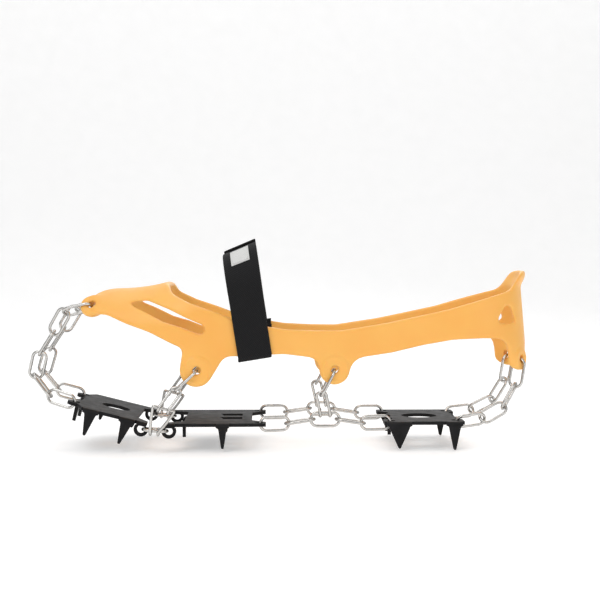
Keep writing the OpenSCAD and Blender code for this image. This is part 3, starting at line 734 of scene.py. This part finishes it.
def bell_path(top, td, bar, d, side):
    """The bell link: a wide top leg along td, two slanting legs, and two hooks round the bar."""
    v = turned(top - bar, d)
    left = hook_curl(bar - d * 2.3, d, v, side)
    right = hook_curl(bar + d * 2.3, d, v, side)
    tl, tr = top - td * 6.4, top + td * 6.4
    left_leg, right_leg = left[0] - tl, right[0] - tr
    mid = [
        tl + 0.55 * left_leg - 0.5 * td,
        tl + 2.6 * unit(left_leg) - 0.25 * td,
        tl + 0.15 * (v - td),
        tl + 1.7 * td,
        tr - 1.7 * td,
        tr + 0.15 * (v + td),
        tr + 2.6 * unit(right_leg) + 0.25 * td,
        tr + 0.55 * right_leg + 0.5 * td,
    ]
    body = chaikin(np.vstack([left[:1], mid, right[:1]]), 3)
    return dense(np.vstack([left[::-1][:-1], body, right[1:]]), 0.4)


def wire_object(node, path, closed, start, swell=None):
    verts, faces = tube(path, closed, start=start, swell=swell)
    obj = mesh_object(node + "_wire", verts, faces, material=WIRE)
    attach(obj, node)
    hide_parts(node)


def joint_point(name):
    return np.array(JOINTS[name]["pos_m"]) * TO_MM


def joint_axis(name):
    """A joint's axis, turned so that it points to +X."""
    axis = unit(JOINTS[name]["axis"])
    return axis if axis[0] > 0 else -axis


def build_chains():
    for side, sign in (("left", 1), ("right", -1)):
        for node in [n for n in frame["nodes"] if n.startswith(side + "_")]:
            if node[len(side) + 1:] in BENT_LINKS:
                continue
            c, u, w, p = link_axes(node)
            length = np.ptp((p - c) @ u)
            width = np.ptp((p - c) @ w)
            w = w * (1 if rng.random() < 0.5 else -1)  # the weld is in either leg
            path, swell = oval_path(c, u, w, length, width)
            wire_object(node, path, True, np.cross(u, w), swell)

        # the bell link's top leg, and the ring that it hooks on
        top, top_dir = joint_point(f"{side}_hook_1_knee"), joint_axis(f"{side}_hook_1_knee")
        bar, bar_dir = joint_point(f"{side}_bell_swing"), joint_axis(f"{side}_bell_swing")
        # the lower end of the oval link that hooked link 1 hangs in
        c, u, _, p = link_axes(f"{side}_side_chain_1")
        u = u if u[2] < 0 else -u
        bearing = c + u * (np.ptp((p - c) @ u) / 2 - 2 * WIRE_R - LEG_GAP)
        wire_object(f"{side}_hook_link_1", hook_link_path(bearing, top, top_dir, sign), False, OPEN_START)
        wire_object(f"{side}_bell_link", bell_path(top, top_dir, bar, bar_dir, sign), False, OPEN_START)

        bearing = joint_point(f"{side}_side_chain_2_knee")
        bar, bar_dir = joint_point(f"{side}_hook_2_swing"), joint_axis(f"{side}_hook_2_swing")
        wire_object(f"{side}_hook_link_2", hook_link_path(bearing, bar, bar_dir, sign), False, OPEN_START)


# ---------------------------------------------------------------- strap (mm)
STRAP_W, STRAP_T, STRAP_GAP, STRAP_FOOT = 20.0, 1.5, 0.5, 41.0
STRAP_SLOPE = 0.155
STRAP_STEPS = 28  # steps along the band, as part.scad counts them
FLAP_START, PAD_START, PAD_END, LABEL_START, LABEL_END = 17, 17.4, 23, 8.3, 10.7
FLAP_GAP = 1.7  # from the band's outside to the loose end's inside
FOOT_DROP, FOOT_UP = 2.0, 17  # how far the band goes below its foot edge, and up inside
LABEL_HALF = 5.4
STITCH_R, STITCH_LIFT, STITCH_ARCH, STITCH_DIP = 0.22, 0.05, 0.22, 0.12


def strap_x(z):
    return -102.5 - (z - STRAP_FOOT) * STRAP_SLOPE


X0 = strap_x(78)  # where the section that the strap follows is taken


def strap_length(d=0.0):
    r = float(corner_r(X0, d))
    z0 = float(top_z(X0, d)) - r
    return 2 * ((z0 - STRAP_FOOT) + r * math.pi / 2 + float(half_w(X0, d)) - r)


def strap_point(m, s, d):
    """m is mm along from the left foot, s mm across, d mm out from the harness surface."""
    m, s, d = np.broadcast_arrays(np.asarray(m, float), np.asarray(s, float), np.asarray(d, float))
    r = corner_r(X0, d)
    z0 = top_z(X0, d) - r
    b = half_w(X0, d)
    side = z0 - STRAP_FOOT
    arc = r * math.pi / 2
    total = 2 * (side + arc + b - r)
    share = np.clip(m / strap_length(), 0, 1)
    mm = np.minimum(share, 1 - share) * total
    a = np.clip((mm - side) / arc * math.pi / 2, 0, math.pi / 2)
    y = -(b - r) - r * np.cos(a) + np.maximum(0, mm - side - arc)
    z = np.where(mm < side, STRAP_FOOT + mm, z0 + r * np.sin(a))
    x = strap_x(z) + s
    rise = (top_z(x) - top_z(strap_x(z))) * np.sin(a) + STRAP_SLOPE * s * np.cos(a)
    widen = (half_w(x) - half_w(X0)) * np.cos(a)
    y = np.where(share < 0.5, y - widen, widen - y)
    return np.stack([x, y, z + rise], -1)


def tape(rows, name, material, thick, width_mm, v0=0.0):
    """A woven tape with closed ends. Each row gives the points at columns s across and d out."""
    half, t2 = width_mm / 2, thick / 2
    edge = min(0.55, t2 * 0.9)

    def selvedge(at, angles):
        return [(at + edge * math.cos(a), t2 * math.sin(a) * 0.98) for a in map(math.radians, angles)]

    ring = [(s, -t2) for s in np.linspace(-half + edge, half - edge, 17)]
    ring += selvedge(half - edge, np.linspace(-60, 60, 4))
    ring += [(s, t2) for s in np.linspace(half - edge, -half + edge, 17)]
    ring += selvedge(-half + edge, np.linspace(120, 240, 4))
    ring = np.array(ring)
    verts, uvs = [], []
    along = v0
    last = None
    for row in rows:
        pts = row(ring[:, 0], ring[:, 1])
        mid = pts.mean(0)
        along += 0 if last is None else np.linalg.norm(mid - last)
        last = mid
        verts.append(pts)
        uvs.append(np.stack([ring[:, 0], np.full(len(ring), along)], 1))
    n = len(ring)
    faces = []
    for i in range(len(rows) - 1):
        for k in range(n):
            beside = (k + 1) % n
            faces.append((i * n + k, (i + 1) * n + k, (i + 1) * n + beside, i * n + beside))
    faces.append(tuple(range(n)))
    faces.append(tuple((len(rows) - 1) * n + k for k in range(n))[::-1])
    return mesh_object(name, np.concatenate(verts), faces, np.concatenate(uvs), material)


def surface_row(m, level):
    return lambda s, d: strap_point(m, s, level + d)


def turn_rows(m_foot, level_a, level_b, depth, steps=14, up=0):
    """Rows that turn under a foot edge from one level to another and go up again by up mm."""
    sign = 1 if m_foot < 1 else -1
    mid, half = (level_a + level_b) / 2, (level_a - level_b) / 2
    flip = 1 if half > 0 else -1
    out = np.array([0.0, -sign, 0.0])
    down = np.array([0.0, 0.0, -1.0])

    def make(level, drop, tilt):
        def row(s, d):
            base = strap_point(m_foot, s, 0.0)
            return base + (level + d * tilt[0])[:, None] * out + (drop + d * tilt[1])[:, None] * down
        return row

    rows = []
    for i in range(1, steps):
        a = math.pi * i / steps
        tilt = (math.cos(a), flip * math.sin(a))
        rows.append(make(mid + half * math.cos(a), depth * math.sin(a), tilt))
    for j in range(up + 1):
        rows.append(make(level_b, -float(j), (-1.0, 0.0)))
    return rows


def stitches(name, points, normals, material):
    """A row of thread stitches: each runs between two neighbouring points and dips at its ends."""
    verts, faces = [], []
    for i in range(len(points) - 1):
        a, b = points[i], points[i + 1]
        gap = 0.14 * (b - a)
        a, b = a + gap, b - gap
        nrm = unit(normals[i])
        path = [
            a + (b - a) * t + nrm * (STITCH_LIFT + STITCH_ARCH * math.sin(math.pi * t) - STITCH_DIP)
            for t in np.linspace(0, 1, 6)
        ]
        v, f = tube(np.array(path), False, radius=STITCH_R, sides=7)
        base = len(verts)
        verts.extend(v.tolist())
        faces.extend([tuple(k + base for k in q) for q in f])
    return mesh_object(name, np.array(verts), faces, np.array(verts)[:, :2], material)


def sewn_box(name, m0, m1, half, n_along, n_across, level, material):
    """Stitches round a rectangle from m0 to m1 along the strap, half mm each side of its middle."""
    points = [(m, -half) for m in np.linspace(m0, m1, n_along)]
    points += [(m1, s) for s in np.linspace(-half, half, n_across)]
    points += [(m, half) for m in np.linspace(m1, m0, n_along)]
    points += [(m0, s) for s in np.linspace(half, -half, n_across)]
    m, s = np.array(points).T
    pts = strap_point(m, s, level)
    return stitches(name, pts, strap_point(m, s, level + 1.0) - pts, material)


def slack(m):
    """Small waves along the tape."""
    return 0.12 * math.sin(m * 0.11) + 0.08 * math.sin(m * 0.31 + 1)


def build_strap():
    total = strap_length()
    centre = STRAP_GAP + STRAP_T / 2
    inner = -BAND_T - 0.35 - STRAP_T / 2
    left_turn = turn_rows(0.0, centre, inner, FOOT_DROP, up=FOOT_UP)[::-1]
    body = [surface_row(m, centre + slack(m)) for m in np.linspace(0, total, 170)]
    right_turn = turn_rows(total, centre, inner, FOOT_DROP, up=FOOT_UP)
    band = tape(left_turn + body + right_turn, "strap_band_tape", WEBBING, STRAP_T, STRAP_W)
    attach(band, "harness")
    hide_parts("strap_band")

    # loose end, its hook pad and the fold it swings on
    flap_level = STRAP_GAP + STRAP_T + FLAP_GAP + STRAP_T / 2
    flap_span = np.linspace(total - 2.6, total * FLAP_START / STRAP_STEPS, 80)
    flap_rows = [surface_row(m, flap_level + slack(m)) for m in flap_span][::-1]
    flap = tape(flap_rows, "strap_loose_end_tape", WEBBING, STRAP_T, STRAP_W, v0=40)
    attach(flap, "loose_end")
    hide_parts("strap_flap")
    pad_level = flap_level - STRAP_T / 2 - 0.5
    pad_span = np.linspace(total * PAD_START / STRAP_STEPS, total * PAD_END / STRAP_STEPS, 60)
    pad_rows = [surface_row(m, pad_level + slack(m)) for m in pad_span]
    pad = tape(pad_rows, "strap_hook_tape", HOOKS, 0.9, STRAP_W - 2.4)
    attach(pad, "loose_end")
    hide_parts("strap_hook_pad")
    fold_in = centre + STRAP_T + 0.05
    fold_rows = [surface_row(m, fold_in) for m in np.linspace(total - 7, total, 8)]
    fold_rows += turn_rows(total, fold_in, flap_level, 1.1, steps=10)[:-1]
    fold_rows += [surface_row(m, flap_level) for m in (total, total - 1.0, total - 3.0)]
    fold = tape(fold_rows, "strap_fold_tape", WEBBING, 1.3, STRAP_W - 0.2)
    y_in = float(strap_point(total, 0.0, fold_in)[1]) * MM
    y_out = float(strap_point(total, 0.0, flap_level)[1]) * MM
    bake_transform(fold)

    # label with its stitching
    l0, l1 = total * LABEL_START / STRAP_STEPS, total * LABEL_END / STRAP_STEPS
    label_level = STRAP_GAP + STRAP_T + 0.12
    label_rows = [surface_row(m, label_level + 0.15 + slack(m)) for m in np.linspace(l0, l1, 24)]
    label = tape(label_rows, "strap_label_patch", LABEL, 0.42, 2 * LABEL_HALF)
    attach(label, "harness")
    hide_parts("strap_label")
    up = label_level + 0.36 + slack(l0)
    sewn = sewn_box("strap_label_stitches", l0 + 0.8, l1 - 0.8, LABEL_HALF - 0.9, 8, 8, up, WHITE_THREAD)
    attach(sewn, "harness")

    # sewn box at the loose end's tip
    ma = total * 17.25 / STRAP_STEPS
    level = flap_level + STRAP_T / 2 + 0.05 + slack(ma)
    row = sewn_box("strap_tip_stitches", ma, ma + 4.0, 8.2, 5, 10, level, THREAD)
    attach(row, "loose_end")


# ---------------------------------------------------------------- build
build_harness()
build_chains()
build_strap()
for plate in ("front_plate", "mid_plate", "heel_plate"):
    mesh = frame["nodes"][plate].data
    mesh.materials.clear()
    mesh.materials.append(PLATE)

# ---------------------------------------------------------------- floor, light, camera (m)
FLOOR_Z = -0.0172
MIDDLE = (-0.075, 0.0, 0.04)
WORLD_STRENGTH = 0.5
LIGHTS = {  # place, size, power
    "key": ((-0.5, -0.7, 0.9), (0.7, 0.7), 4.0),
    "fill": ((0.7, -0.9, 0.35), (0.8, 0.6), 1.5),
    "top": ((-0.05, 0.15, 1.1), (1.0, 0.6), 3.0),
    "back": ((0.2, 0.8, 0.6), (0.8, 0.4), 1.6),
}
CAMERA_AIM = Vector((-0.0746, 0.0, 0.0725))
CAMERA_TURN, CAMERA_TILT, CAMERA_DISTANCE = math.radians(-1.5), math.radians(1.8), 0.85


def build_stage():
    """A floor that curves up into a wall behind the part."""
    mat, nodes, links, bsdf = new_material("floor_look")
    grain = noise(nodes, links, 60, 3)
    links.new(ramp(nodes, links, grain, (0.78, 0.78, 0.78), (0.82, 0.82, 0.82)), bsdf.inputs["Base Color"])
    bsdf.inputs["Roughness"].default_value = 0.7
    bsdf.inputs["Emission Color"].default_value = (1, 1, 1, 1)
    bsdf.inputs["Emission Strength"].default_value = 0.34
    half_width, bend = 3.0, np.linspace(0, math.pi / 2, 14)
    ys = [-3.0] + [0.9 + 0.6 * math.sin(a) for a in bend] + [1.5]
    zs = [0.0] + [0.6 - 0.6 * math.cos(a) for a in bend] + [3.5]
    verts = [
        (x * TO_MM, y * TO_MM, z * TO_MM + FLOOR_Z * TO_MM)
        for y, z in zip(ys, zs) for x in (-half_width, half_width)
    ]
    faces = [(2 * i, 2 * i + 1, 2 * i + 3, 2 * i + 2) for i in range(len(ys) - 1)]
    floor = mesh_object("floor_sweep", verts, faces, material=mat)


def area_light(name, at, aim, size, power):
    data = bpy.data.lights.new(name, "AREA")
    data.shape = "RECTANGLE"
    data.size, data.size_y = size
    data.energy = power
    obj = bpy.data.objects.new(name, data)
    bpy.context.collection.objects.link(obj)
    obj.location = at
    obj.rotation_euler = (Vector(aim) - Vector(at)).to_track_quat("-Z", "Y").to_euler()


def build_camera():
    data = bpy.data.cameras.new("camera")
    data.lens = 81.6
    data.sensor_width = 36
    camera = bpy.data.objects.new("camera", data)
    bpy.context.collection.objects.link(camera)
    level = math.cos(CAMERA_TILT)
    back = Vector((math.sin(CAMERA_TURN) * level, -math.cos(CAMERA_TURN) * level, math.sin(CAMERA_TILT)))
    camera.location = CAMERA_AIM + back * CAMERA_DISTANCE
    camera.rotation_euler = (CAMERA_AIM - camera.location).to_track_quat("-Z", "Y").to_euler()
    bpy.context.scene.camera = camera


build_stage()
world = bpy.data.worlds.new("studio")
bpy.context.scene.world = world
world.use_nodes = True
background = world.node_tree.nodes["Background"]
background.inputs["Color"].default_value = (1, 1, 1, 1)
background.inputs["Strength"].default_value = WORLD_STRENGTH
bpy.context.scene.view_settings.view_transform = "Standard"
for light, (place, size, power) in LIGHTS.items():
    area_light(light, place, MIDDLE, size, power)
build_camera()
